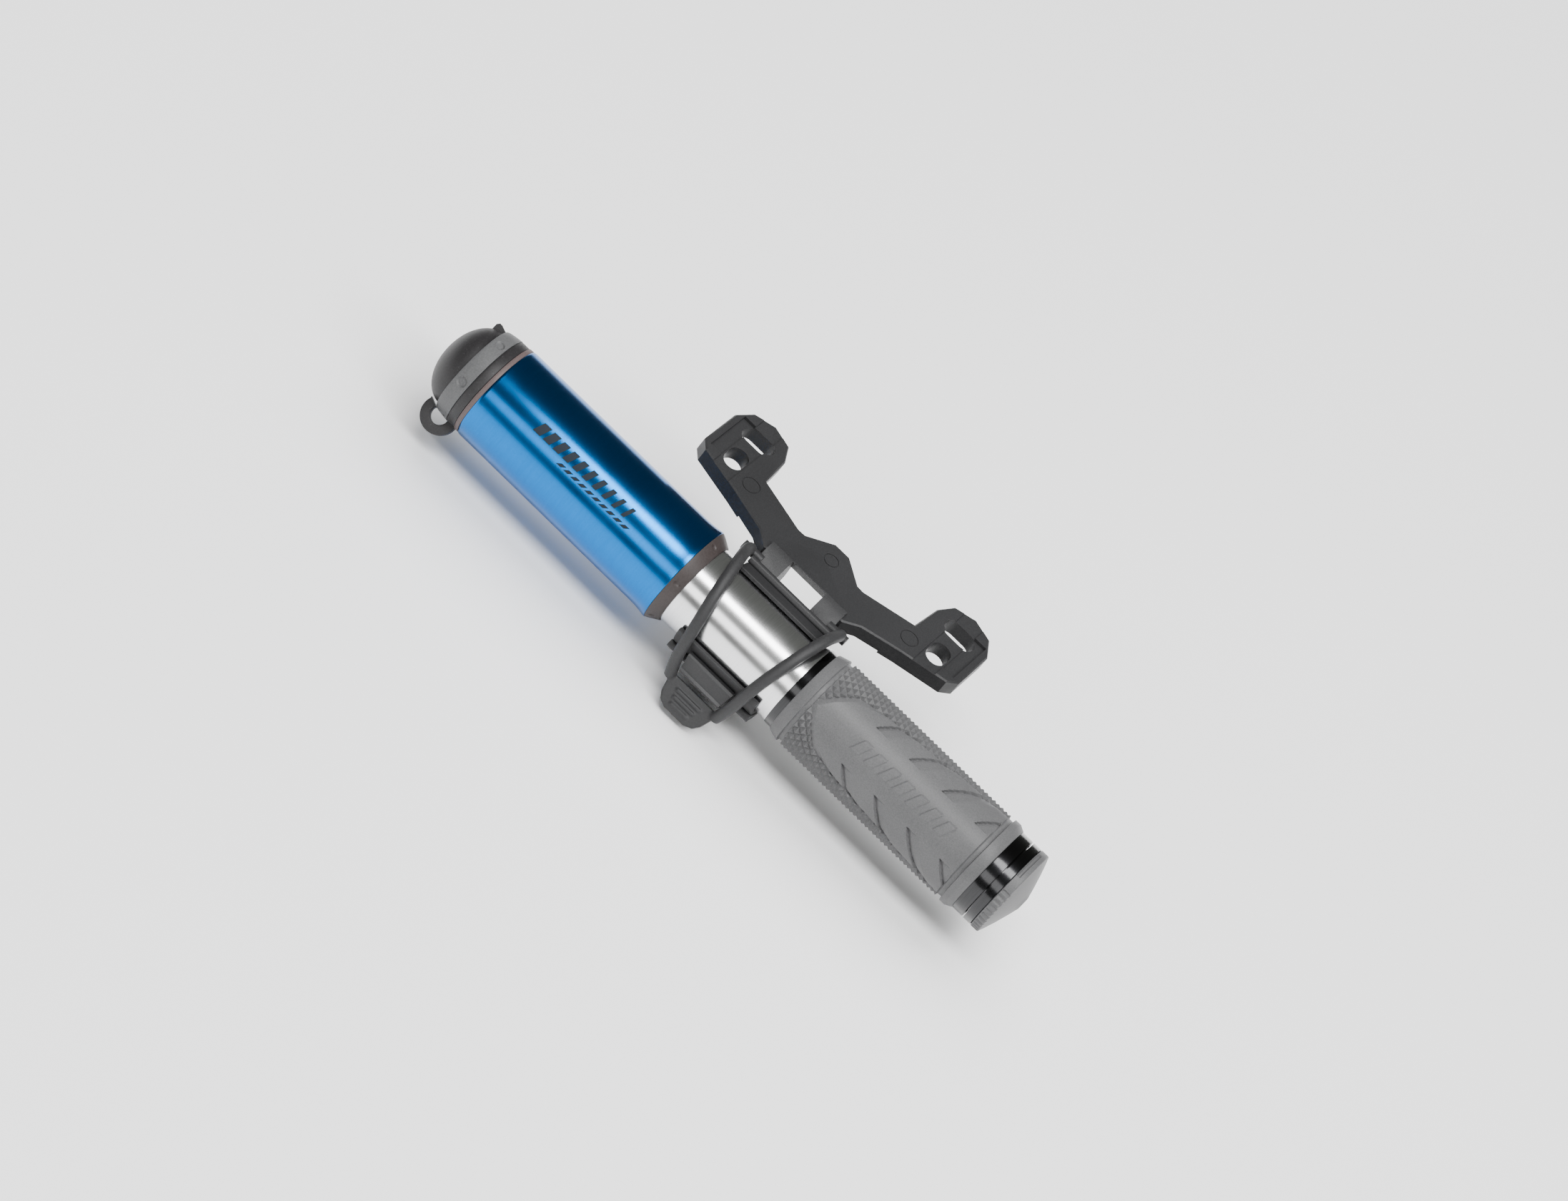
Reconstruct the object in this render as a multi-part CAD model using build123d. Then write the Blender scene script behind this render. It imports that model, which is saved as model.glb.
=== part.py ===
from build123d import *
import os
from math import cos, radians, sin

# Mini pump clipped in its frame bracket. Millimetres, +Z up.
# X runs along the pump from the dust cap (-X) to the palm cap (+X). Z leaves the bicycle tube through
# the two bottle-cage bosses, and -Y points away from the tube's side, where the pump hangs.
# The origin is midway between the two bosses on the bracket's seat face.

os.makedirs("parts", exist_ok=True)

# --- driving dimensions ---------------------------------------------------------------------------
NOSE_X = -95.0                # tip of the dust cap
PUMP_Y, PUMP_Z = -38.0, -8.0  # pump axis
MOUTH_ANGLE = 40.0            # the cradle's mouth looks outward and this much upward

BARREL_R, BARREL_BORE = 10.8, 9.6
SLEEVE_R, SLEEVE_BORE = 12.6, 11.7
ROD_R, ROD_BORE = 5.0, 4.3
HOSE_R, HOSE_BORE = 2.9, 1.4
CHUCK_R = 6.6
RUN_FIT = 0.05                # radial clearance of a running fit
BODY_GAP = 0.3                # gap between curved faces of different bodies

# stations along the pump, counted from the tip of the dust cap
CAP_END = 7.2
COLLAR_START, COLLAR_END = 7.3, 11.3
LEASH_END, SLEEVE_START = 13.8, 15.0
SLEEVE_END, WIPER_END = 74.4, 77.5
BARREL_START, BARREL_END = 22.5, 171.0
TUBE_START, GRIP_START, GRIP_END = 110.4, 112.3, 169.4
TUBE_END, PLUG_END, PUMP_END = 172.5, 175.0, 180.4

BOLT_SPACING, SLOT_WIDTH, SLOT_LENGTH = 64.0, 5.5, 9.0
PLATE_THICK = 4.2
CHANNEL_WIDTH, CHANNEL_DEPTH = 6.0, 0.4
POCKET_X, POCKET_WIDTH = 36.7, 3.4
SEAT_INNER_X, SEAT_RELIEF = 22.0, 0.6   # only the end pads touch the bicycle tube
RELIEF_Y, RELIEF_LENGTH = -10.0, 7.6
EJECTOR_MARKS = [(-25.0, -13.6, 2.4), (25.0, -13.6, 2.4), (0, -13.0, 2.0)]  # x, y, radius on the plate
NECK_HALF = 11.6
CRADLE_HALF, CRADLE_R, CRADLE_BORE = 12.4, 13.6, 12.2
LINER_BORE, LINER_FIRST, LINER_LAST = BARREL_R + BODY_GAP, 50.0, 301.0
JAW_TOP_HALF, JAW_LIP_HALF = 6.8, 5.9   # the hook block narrows towards its lip
STRAP_LEG_R, EYE_X, PIN_R = 1.45, 14.3, 1.2
PIN_P, PIN_Q = -1.0, -14.4

LOOP_STATION, LOOP_OUT, LOOP_R, LOOP_HOLE, LOOP_THICK = 9.4, 12.6, 4.6, 2.1, 2.6

MOUTH = Vector(0, -cos(radians(MOUTH_ANGLE)), sin(radians(MOUTH_ANGLE)))
AXIS_POINT = Vector(0, PUMP_Y, PUMP_Z)
CROSS = Plane(origin=AXIS_POINT, x_dir=MOUTH, z_dir=(1, 0, 0))  # local x to the mouth, local y downward


# --- helpers --------------------------------------------------------------------------------------
def at(station):
    """X of a station along the pump."""
    return NOSE_X + station


def turned(*points):
    """A piece turned about the pump axis from (station, radius) corners."""
    profile = make_face(Polyline(*[(at(s), r) for s, r in points], close=True))
    return Pos(0, PUMP_Y, PUMP_Z) * revolve(profile, Axis.X, 360)


def ring(start, end, inner, outer):
    """A plain turned ring or tube."""
    return turned((start, inner), (end, inner), (end, outer), (start, outer))


def torus(station, radius, section):
    """A round-section ring about the pump axis."""
    profile = Pos(at(station), radius) * Circle(section)
    return Pos(0, PUMP_Y, PUMP_Z) * revolve(profile, Axis.X, 360)


def across(sketch, half):
    """A section drawn in the cross plane, pulled half a width each way along the pump."""
    plane = CROSS.offset(-half)
    return extrude(plane * sketch, amount=2 * half)


def along_radius(station, angle, start, end, radius):
    """A round peg that stands on the pump axis, turned by angle from the mouth."""
    plane = Plane(origin=AXIS_POINT + Vector(at(station), 0, 0), x_dir=(1, 0, 0), z_dir=MOUTH)
    peg = extrude(plane.offset(start) * Circle(radius), amount=end - start)
    return peg.rotate(Axis(AXIS_POINT, (1, 0, 0)), angle)


def sector(radius, first, last):
    """A pie slice in the cross plane between two angles from the mouth."""
    reach = 2 * radius
    steps = [first + (last - first) * i / 8 for i in range(9)]
    rim = [(reach * cos(radians(a)), reach * sin(radians(a))) for a in steps]
    return make_face(Polyline((0, 0), *rim, close=True))


# --- head of the pump: cap, leash and rings ---------------------------------------------------------
def dust_cap():
    height, base = CAP_END, 10.8
    edge = Spline([(at(0), 0), (at(0.35), 2.9), (at(1.5), 6.1), (at(3.6), 9.0), (at(5.6), 10.5), (at(height), base)],
                  tangents=[(0, 1), (1, 0.02)])
    inner = [(at(height), 8.2), (at(5.4), 8.0), (at(2.6), 5.2), (at(1.6), 0)]
    profile = make_face(Curve() + [edge, Polyline((at(height), base), *inner, (at(0), 0))])
    cap = Pos(0, PUMP_Y, PUMP_Z) * revolve(profile, Axis.X, 360)
    fin_face = make_face(Polyline((4.4, -9.0), (4.6, -11.2), (5.2, -11.6), (7.1, -10.8), (7.1, -9.0), close=True))
    plane = Plane(origin=AXIS_POINT + Vector(NOSE_X, 0, 0), x_dir=(1, 0, 0), z_dir=-MOUTH)
    fin = extrude(plane.offset(-1.2) * fin_face, amount=2.4)
    return cap + fin


def leash_loop():
    plane = Plane(origin=AXIS_POINT + Vector(NOSE_X, 0, 0), x_dir=(1, 0, 0), z_dir=-MOUTH).offset(-LOOP_THICK / 2)
    flat = Pos(LOOP_STATION, LOOP_OUT) * (Circle(LOOP_R) - Circle(LOOP_HOLE))
    return extrude(plane * flat, amount=LOOP_THICK)


def leash_ring():
    band = turned((COLLAR_END, 9.0), (LEASH_END, 9.0), (LEASH_END, 12.2), (LEASH_END - 0.3, 12.4),
                  (COLLAR_END + 0.3, 12.4), (COLLAR_END, 12.2))
    loop = leash_loop() - ring(-5, COLLAR_END, 0, 12.45) - ring(COLLAR_END, LEASH_END, 0, 11.0)
    loop -= ring(LEASH_END, 30, 0, 12.6)
    return band + loop


def head_collar():
    collar = turned((COLLAR_START, 9.0), (COLLAR_END, 9.0), (COLLAR_END, 12.35), (COLLAR_START + 1.3, 12.1),
                    (COLLAR_START + 0.4, 11.8), (COLLAR_START, 11.4))
    for turn in range(6):
        collar -= along_radius(9.4, 17 + 60 * turn, 12.0, 14, 1.25)
    return collar


def end_ring():
    return ring(LEASH_END, SLEEVE_START, 9.0, 12.5)


# --- handle side ------------------------------------------------------------------------------------
def head_plug():
    return turned((COLLAR_START, 7.4), (16.5, 7.4), (16.5, ROD_R), (22.0, ROD_R), (22.0, SLEEVE_BORE),
                  (SLEEVE_START, SLEEVE_BORE), (SLEEVE_START, 9.0), (COLLAR_START, 9.0))


def handle_sleeve():
    return turned((SLEEVE_START, SLEEVE_BORE), (SLEEVE_END, SLEEVE_BORE), (SLEEVE_END, 13.0),
                  (SLEEVE_END - 0.5, 12.95), (SLEEVE_END - 2.0, 12.72), (SLEEVE_END - 4.0, SLEEVE_R),
                  (SLEEVE_START + 0.4, SLEEVE_R), (SLEEVE_START, SLEEVE_R - 0.3))


def sleeve_wiper():
    bore = BARREL_R + RUN_FIT
    return turned((SLEEVE_END - 7, bore), (WIPER_END, bore), (WIPER_END, 11.15), (WIPER_END - 0.2, 11.4),
                  (SLEEVE_END, 12.9), (SLEEVE_END, SLEEVE_BORE), (SLEEVE_END - 7, SLEEVE_BORE))


# --- pump rod and piston -------------------------------------------------------------------------
PISTON_START, PISTON_END = 150.0, 163.0


def piston_rod():
    return ring(18.0, PISTON_END - 6, ROD_BORE, ROD_R)


def piston():
    return turned((PISTON_START, ROD_R), (PISTON_END - 6, ROD_R), (PISTON_END - 6, 2.4), (PISTON_END - 2, 2.4),
                  (PISTON_END - 2, 1.2), (PISTON_END, 1.2), (PISTON_END, 7.2), (PISTON_END - 3, 7.2),
                  (PISTON_END - 3, 8.8), (PISTON_END - 5, 8.8), (PISTON_END - 5, 7.4), (PISTON_END - 8, 7.4),
                  (PISTON_END - 8, 8.8), (PISTON_START, 8.8))


def piston_ring():
    return ring(PISTON_END - 8, PISTON_END - 5, 7.4, BARREL_BORE - RUN_FIT)


def cup_seal():
    return turned((PISTON_END - 3, 7.2), (PISTON_END, 7.2), (PISTON_END, 7.8), (PISTON_END - 1.6, 8.2),
                  (PISTON_END - 0.4, 9.0), (PISTON_END, BARREL_BORE - RUN_FIT), (PISTON_END - 3, 9.2))


def valve_ball():
    return Pos(at(PISTON_END - 3.4), PUMP_Y, PUMP_Z) * Sphere(1.5)


def valve_spring():
    coil_r, wire, start, turns, pitch = 1.9, 0.22, PISTON_END - 5.9, 3, 0.55
    path = Helix(pitch=pitch, height=turns * pitch, radius=coil_r)
    section = Plane(origin=path @ 0, z_dir=path % 0) * Circle(wire)
    coil = sweep(section, path=path, is_frenet=True)
    return Pos(at(start), PUMP_Y, PUMP_Z) * Rot(0, 90, 0) * coil


# --- barrel side -----------------------------------------------------------------------------------
def barrel():
    flare = TUBE_START - 3.5
    return turned((BARREL_START, BARREL_BORE), (BARREL_END, BARREL_BORE), (BARREL_END, BARREL_R),
                  (TUBE_START, BARREL_R), (TUBE_START, 11.1), (TUBE_START - 1.2, 11.05),
                  (flare, BARREL_R), (BARREL_START, BARREL_R))


def rod_guide():
    front, back, pocket = BARREL_START + 0.7, BARREL_START + 12, BARREL_START + 3.1
    return turned((front, 7.35), (pocket, 7.35), (pocket, ROD_R + RUN_FIT), (back, ROD_R + RUN_FIT),
                  (back, BARREL_BORE), (front, BARREL_BORE))


def rod_wiper_ring():
    return torus(BARREL_START + 1.9, 6.2, 1.15)


def guide_circlip():
    return ring(BARREL_START + 12, BARREL_START + 13, 8.2, BARREL_BORE)


def grip_tube():
    return turned((TUBE_START, BARREL_R), (TUBE_END, BARREL_R), (TUBE_END, 11.5), (GRIP_END, 11.5),
                  (GRIP_END, 11.1), (TUBE_START + 0.3, 11.1), (TUBE_START, 11.0))


def grip():
    return turned((GRIP_START, 11.1), (GRIP_END, 11.1), (GRIP_END, 11.5), (GRIP_END - 1.5, 12.4),
                  (GRIP_END - 3.1, 12.4), (GRIP_END - 3.1, 11.6), (GRIP_END - 4.5, 11.6), (GRIP_END - 4.5, 12.3),
                  (116.5, 12.3), (116.5, 11.5), (115.2, 11.5), (115.2, 12.2), (GRIP_START, 11.3))


def end_plug():
    seat, flange = 163.8, TUBE_END + 0.4
    return turned((seat, 0), (PLUG_END, 0), (PLUG_END, 3.0), (PLUG_END, 11.5), (flange, 11.5),
                  (flange, 9.8), (BARREL_END, 9.8), (BARREL_END, BARREL_BORE), (169.0, BARREL_BORE), (169.0, 8.2),
                  (166.6, 8.2), (166.6, BARREL_BORE), (seat, BARREL_BORE))


def plug_o_ring():
    return torus(167.8, 8.95, 0.62)


def palm_cap():
    start = PLUG_END + 0.1
    cap = turned((start, 0), (start, 11.35), (start + 0.3, 11.55), (177.2, 11.55), (177.5, 11.3), (178.7, 7.6),
                 (179.8, 3.9), (PUMP_END, 1.7), (PUMP_END, 0))
    window = across(sector(14, 290, 342), 0.4).translate(Vector(at(PLUG_END + 0.5), 0, 0))
    return cap - (window - ring(PLUG_END - 2, PLUG_END + 3, 0, 10.9))


# --- hose and chuck ---------------------------------------------------------------------------------
HOSE_START, HOSE_END = 22.0, 128.0


def hose():
    return ring(HOSE_START, HOSE_END, HOSE_BORE, HOSE_R)


def hose_piston():
    return ring(HOSE_END - 4, HOSE_END + 2, HOSE_R, ROD_BORE - RUN_FIT)


def hose_ferrule():
    return ring(HOSE_START, HOSE_START + 5, HOSE_R, 4.0)


def chuck_body():
    return turned((4.4, 4.1), (13.0, 4.1), (13.0, 1.4), (HOSE_START, 1.4), (HOSE_START, 4.0), (17.2, 4.0),
                  (15.8, 5.0), (4.4, 5.0))


def chuck_collar():
    return ring(4.6, 13.6, 5.0 + RUN_FIT, CHUCK_R)


def chuck_gasket():
    return ring(10.4, 13.0, 1.6, 4.1)


# --- bracket --------------------------------------------------------------------------------------
def plate_outline():
    half = [(0, -7.6), (2.2, -7.6), (8.4, -12.8), (10.2, -12.9), (23.5, -8.6), (24.2, 1.0), (26.5, 6.0), (32, 8.0),
            (37.5, 6.0), (40.2, 1.0), (40.2, -12.6), (38.0, -15.3), (26.0, -18.8), (16.0, -22.3), (12.2, -25.6),
            (0, -25.6)]
    left = [(-x, y) for x, y in reversed(half)]
    return make_face(Polyline(*half, *left[1:-1], close=True))


def bracket():
    plate = extrude(plate_outline(), amount=PLATE_THICK)
    plate = chamfer(plate.faces().sort_by(Axis.Z)[-1].edges(), 0.35)
    for side in (-1, 1):
        bolt_x = side * BOLT_SPACING / 2
        plate -= Pos(bolt_x, -9, PLATE_THICK) * Box(CHANNEL_WIDTH, 40, 2 * CHANNEL_DEPTH)
        plate -= Pos(side * POCKET_X, -5, PLATE_THICK) * Box(POCKET_WIDTH, 15.6, 4 * CHANNEL_DEPTH)
        slot = Pos(bolt_x, 0, -1) * extrude(SlotOverall(SLOT_LENGTH, SLOT_WIDTH), amount=9)
        relief = Pos(bolt_x, RELIEF_Y, -1) * Rot(0, 0, 90) * extrude(SlotOverall(RELIEF_LENGTH, 5.2), amount=9)
        plate -= slot + relief
    plate -= Pos(0, -10, 0) * Box(2 * SEAT_INNER_X, 40, 2 * SEAT_RELIEF)
    for x, y, r in EJECTOR_MARKS:
        mark = Pos(x, y, PLATE_THICK - 0.15) * extrude(Circle(r) - Circle(r - 0.25), amount=1)
        plate -= mark
    neck_face = make_face(Polyline((-2.6, -19.4), (-1.4, -17.6), (-0.4, -13.4), (-2.0, -12.6), (-6, -11.2),
                                   (-12.0, -6.0), (-13.2, -9.0), (-11.0, -15.6), (-7.6, -18.2), close=True))
    neck = across(neck_face, NECK_HALF)
    wall = Circle(CRADLE_R) & sector(CRADLE_R, 94, 266)
    rails = [Pos(-0.2, side * 12.95) * RectangleRounded(3.4, 2.2, 0.9) for side in (-1, 1)]
    saddle = across(wall + rails[0] + rails[1], CRADLE_HALF)
    window = Pos(0, -24.5, 1.5) * Rot(38, 0, 0) * Box(10.4, 5.6, 30)
    body = plate + neck + saddle + hook_jaw() - ring(60, 130, 0, CRADLE_BORE) - window
    return body + strap_pin(-1) + strap_pin(1)


def hook_jaw():
    """The block under the barrel whose lip holds the strap's tab."""
    section = make_face(Polyline((6.4, 11.6), (6.5, 12.3), (4.6, 15.2), (4.8, 15.9), (4.3, 16.3), (3.3, 16.3),
                                 (2.9, 15.9), (-0.6, 15.7), (-1.6, 13.4), (-1.2, 11.5), (3.5, 10.5), (6.0, 11.2),
                                 close=True))
    front = make_face(Polyline((-JAW_TOP_HALF, 10), (JAW_TOP_HALF, 10), (JAW_TOP_HALF, 12), (JAW_LIP_HALF, 16.6),
                               (-JAW_LIP_HALF, 16.6), (-JAW_TOP_HALF, 12), close=True))
    plane = Plane(origin=AXIS_POINT + MOUTH * 8, x_dir=(1, 0, 0), z_dir=-MOUTH)
    return across(section, JAW_TOP_HALF) & extrude(plane * front, amount=12)


def strap_pin(side):
    start = CRADLE_HALF - 2.0
    plane = CROSS.offset(side * start)
    return extrude(plane * Pos(PIN_P, PIN_Q) * Circle(PIN_R), amount=side * (EYE_X + 1.7 - start))


def cradle_liner():
    shell = Circle(CRADLE_BORE) - Circle(LINER_BORE)
    shell = shell & sector(CRADLE_BORE, LINER_FIRST, LINER_LAST)
    return across(shell, CRADLE_HALF - 0.2)


# --- strap ----------------------------------------------------------------------------------------
LEG_POINTS = [(-88, 14.4, 14.3), (-52, 14.3, 13.2), (-25, 12.9, 12.0), (0, 12.7, 10.9), (32, 12.9, 9.5),
              (54, 14.3, 8.9), (72, 16.0, 8.3), (84, 18.4, 7.1)]  # angle from the mouth, radius, half the spread
LEG_BEND, EYE_R = 3.0, 2.4


def leg_point(angle, radius, half, side):
    """A point of a strap leg: angle and radius about the pump axis, half the spread along the pump."""
    local = Vector(radius * cos(radians(angle)), radius * sin(radians(angle)), side * half)
    return CROSS.from_local_coords(local)


def strap():
    points = [leg_point(angle, radius, half, 1) for angle, radius, half in LEG_POINTS]
    path = FilletPolyline(*points, radius=LEG_BEND)
    leg = sweep(Plane(origin=path @ 0, z_dir=path % 0) * Circle(STRAP_LEG_R), path=path)
    eye_half = STRAP_LEG_R - 0.15
    eye = extrude(CROSS.offset(EYE_X - eye_half) * Pos(PIN_P, PIN_Q) * Circle(EYE_R), amount=2 * eye_half)
    side = leg + eye - extrude(CROSS.offset(EYE_X - 3) * Pos(PIN_P, PIN_Q) * Circle(PIN_R + RUN_FIT), amount=6)
    tab_face = make_face(Polyline((-7.1, 17.2), (7.1, 17.2), (6.7, 19.5), (6.0, 22.0), (4.9, 23.6), (3.0, 24.5),
                                  (-3.0, 24.5), (-4.9, 23.6), (-6.0, 22.0), (-6.7, 19.5), close=True))
    tab_plane = Plane(origin=AXIS_POINT + MOUTH * 1.6, x_dir=(1, 0, 0), z_dir=-MOUTH)
    tab = extrude(tab_plane.offset(-1.2) * tab_face, amount=2.4)
    return side + mirror(side, Plane.YZ) + tab


NODES = {
    "bracket": bracket, "cradle_liner": cradle_liner, "strap": strap, "dust_cap": dust_cap,
    "leash_ring": leash_ring, "head_collar": head_collar, "end_ring": end_ring, "head_plug": head_plug,
    "handle_sleeve": handle_sleeve, "sleeve_wiper": sleeve_wiper, "piston_rod": piston_rod, "piston": piston,
    "piston_ring": piston_ring, "cup_seal": cup_seal, "valve_ball": valve_ball, "valve_spring": valve_spring,
    "barrel": barrel, "rod_guide": rod_guide, "rod_wiper_ring": rod_wiper_ring, "guide_circlip": guide_circlip,
    "grip_tube": grip_tube, "grip": grip, "end_plug": end_plug, "plug_o_ring": plug_o_ring,
    "palm_cap": palm_cap, "hose": hose, "hose_piston": hose_piston, "hose_ferrule": hose_ferrule,
    "chuck_body": chuck_body, "chuck_collar": chuck_collar, "chuck_gasket": chuck_gasket,
}

for name, make in NODES.items():
    export_step(make(), f"parts/{name}.step")
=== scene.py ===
# %% [markdown]
# # A mini bicycle pump in its frame bracket
# The pump is a row of turned pieces on one axis: a rubber dust cap, a blue anodised handle, a polished
# barrel, a knurled rubber grip and a palm cap. A plastic cradle and a rubber strap hold it by the barrel.
# The CAD frame already holds every piece at its true place and size. This script gives the visible ones
# finer meshes and gives every one a material with depth.

# %% Load the frame
import bmesh
import bpy
import math
import numpy as np
from mathutils import Matrix, Vector


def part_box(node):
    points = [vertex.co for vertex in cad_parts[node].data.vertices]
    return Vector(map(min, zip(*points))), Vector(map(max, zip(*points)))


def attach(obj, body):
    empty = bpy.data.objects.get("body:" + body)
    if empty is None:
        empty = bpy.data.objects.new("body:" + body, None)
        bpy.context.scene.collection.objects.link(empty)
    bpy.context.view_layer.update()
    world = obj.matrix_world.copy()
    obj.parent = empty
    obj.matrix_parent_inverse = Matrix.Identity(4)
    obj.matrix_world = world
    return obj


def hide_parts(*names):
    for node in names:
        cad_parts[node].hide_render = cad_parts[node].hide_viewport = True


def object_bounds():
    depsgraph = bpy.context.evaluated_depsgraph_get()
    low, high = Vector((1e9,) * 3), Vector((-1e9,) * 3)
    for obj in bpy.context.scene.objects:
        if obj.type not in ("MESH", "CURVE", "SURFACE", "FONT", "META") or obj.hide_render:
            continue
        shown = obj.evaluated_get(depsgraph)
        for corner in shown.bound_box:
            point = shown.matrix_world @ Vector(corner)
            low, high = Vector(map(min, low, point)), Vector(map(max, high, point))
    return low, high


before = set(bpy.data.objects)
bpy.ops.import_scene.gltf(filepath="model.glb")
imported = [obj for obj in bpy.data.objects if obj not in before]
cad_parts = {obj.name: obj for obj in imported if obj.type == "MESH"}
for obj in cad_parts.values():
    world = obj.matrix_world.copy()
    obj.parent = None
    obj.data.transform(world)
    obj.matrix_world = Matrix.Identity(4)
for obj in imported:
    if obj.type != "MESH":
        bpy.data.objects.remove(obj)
cad_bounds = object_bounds()

# %% [markdown]
# ## Where things are
# Every place is read from the frame. The barrel's box gives the pump's axis, and the dust cap's box gives
# its nose. A station is a distance along the pump from that nose, in millimetres, as a maker would
# measure it with a rule. The mouth is the way the cradle opens, outward and up, and it is also where the
# grip's smooth panel looks.

# %% The pump's axis, stations and mouth
MM = 0.001
barrel_low, barrel_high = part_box("barrel")
AXIS = Vector((0, (barrel_low.y + barrel_high.y) / 2, (barrel_low.z + barrel_high.z) / 2))
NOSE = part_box("dust_cap")[0].x
MOUTH_ANGLE = math.radians(40)
MOUTH = Vector((0, -math.cos(MOUTH_ANGLE), math.sin(MOUTH_ANGLE)))
DOWN = Vector((0, -math.sin(MOUTH_ANGLE), -math.cos(MOUTH_ANGLE)))


def station(node, side):
    """Station of a node's near (0) or far (1) end, in millimetres from the nose."""
    return (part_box(node)[side].x - NOSE) / MM


def place(along, mouthward, downward):
    """A point from its x, and its distances from the axis to the mouth and down, in mm."""
    return AXIS + Vector((along * MM, 0, 0)) + MOUTH * mouthward * MM + DOWN * downward * MM


def at_station(along, mouthward, downward):
    """The same from a station instead of an x."""
    return place(0, mouthward, downward) + Vector((NOSE + along * MM, 0, 0))


print("pump length, mm:", round(station("palm_cap", 1), 1))

# %% [markdown]
# ## The camera
# It looks at the pump's side from above, through a long lens, and it is rolled so that the pump lies
# across the picture from upper left to lower right.

# %% Camera
AZIMUTH, ELEVATION, ROLL = math.radians(6.9), math.radians(40), math.radians(39.65)
DISTANCE, LENS = 1.35, 138.0
target = place(-0.4, 0, -11.5)
back = Vector((math.sin(AZIMUTH) * math.cos(ELEVATION), -math.cos(AZIMUTH) * math.cos(ELEVATION),
               math.sin(ELEVATION)))
level = Vector((math.cos(AZIMUTH), math.sin(AZIMUTH), 0))
upright = back.cross(level)
right = level * math.cos(ROLL) + upright * math.sin(ROLL)
up = upright * math.cos(ROLL) - level * math.sin(ROLL)
camera_data = bpy.data.cameras.new("camera")
camera_data.lens, camera_data.sensor_width = LENS, 36.0
camera_data.clip_end = 20.0
camera = bpy.data.objects.new("camera", camera_data)
bpy.context.scene.collection.objects.link(camera)
turn = Matrix((right, up, back)).transposed().to_4x4()
camera.matrix_world = Matrix.Translation(target + back * DISTANCE) @ turn
bpy.context.scene.camera = camera
print("camera at", [round(v, 3) for v in camera.location])

# %% [markdown]
# ## The studio
# A polished tube shows the room more than itself, so the lights are long soft panels that run along the
# pump. Their edges make the crisp bands on the silver and the blue. A third panel, which the metal does not
# mirror, brightens the pale floor that closes the room below. The key panel reaches further past the palm
# cap than past the dust cap, which shades one side of every small facet.

# %% Floor
floor_level = cad_bounds[0][2] - 0.0005
bpy.ops.mesh.primitive_plane_add(size=6.0, location=(0, 0, floor_level))
floor = bpy.context.object
floor.name = "floor"

# %% Lights and sky


def soft_panel(name, direction, distance, size, power, tint=(1, 1, 1)):
    """An area light that looks back at the pump from a direction, long side along the pump."""
    data = bpy.data.lights.new(name, "AREA")
    data.shape, data.size, data.size_y, data.energy, data.color = "RECTANGLE", size[0], size[1], power, tint
    lamp = bpy.data.objects.new(name, data)
    bpy.context.scene.collection.objects.link(lamp)
    away = Vector(direction).normalized()
    side = Vector((1, 0, 0))
    across = away.cross(side).normalized()
    basis = Matrix((across.cross(away).normalized(), across, away)).transposed().to_4x4()
    lamp.matrix_world = Matrix.Translation(AXIS + away * distance) @ basis
    return lamp


soft_panel("key_panel", (0.3, -0.34, 0.94), 1.25, (1.9, 0.36), 30)
soft_panel("front_panel", (0.08, -1.0, 0.54), 1.2, (1.6, 0.40), 7)
floor_panel = soft_panel("floor_panel", (0.0, 0.45, 1.0), 1.5, (2.4, 1.4), 42)
floor_panel.visible_glossy = False
world = bpy.data.worlds.new("studio")
bpy.context.scene.world = world
world.use_nodes = True
world.node_tree.nodes["Background"].inputs["Color"].default_value = (0.97, 1.0, 0.93, 1)
world.node_tree.nodes["Background"].inputs["Strength"].default_value = 0.12

# %% [markdown]
# ## Moulded rubber and plastic
# Rubber and moulded plastic have no clean surface up close. A fine grain from the mould breaks up the
# highlight, the colour drifts a little over centimetres, and small pale specks of dust and talc sit on it.
# One function makes all of these finishes, since only the amounts differ. Everything is driven by Object
# coordinates, so the grain stays on the piece when it moves.

# %% The moulded finish


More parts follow.
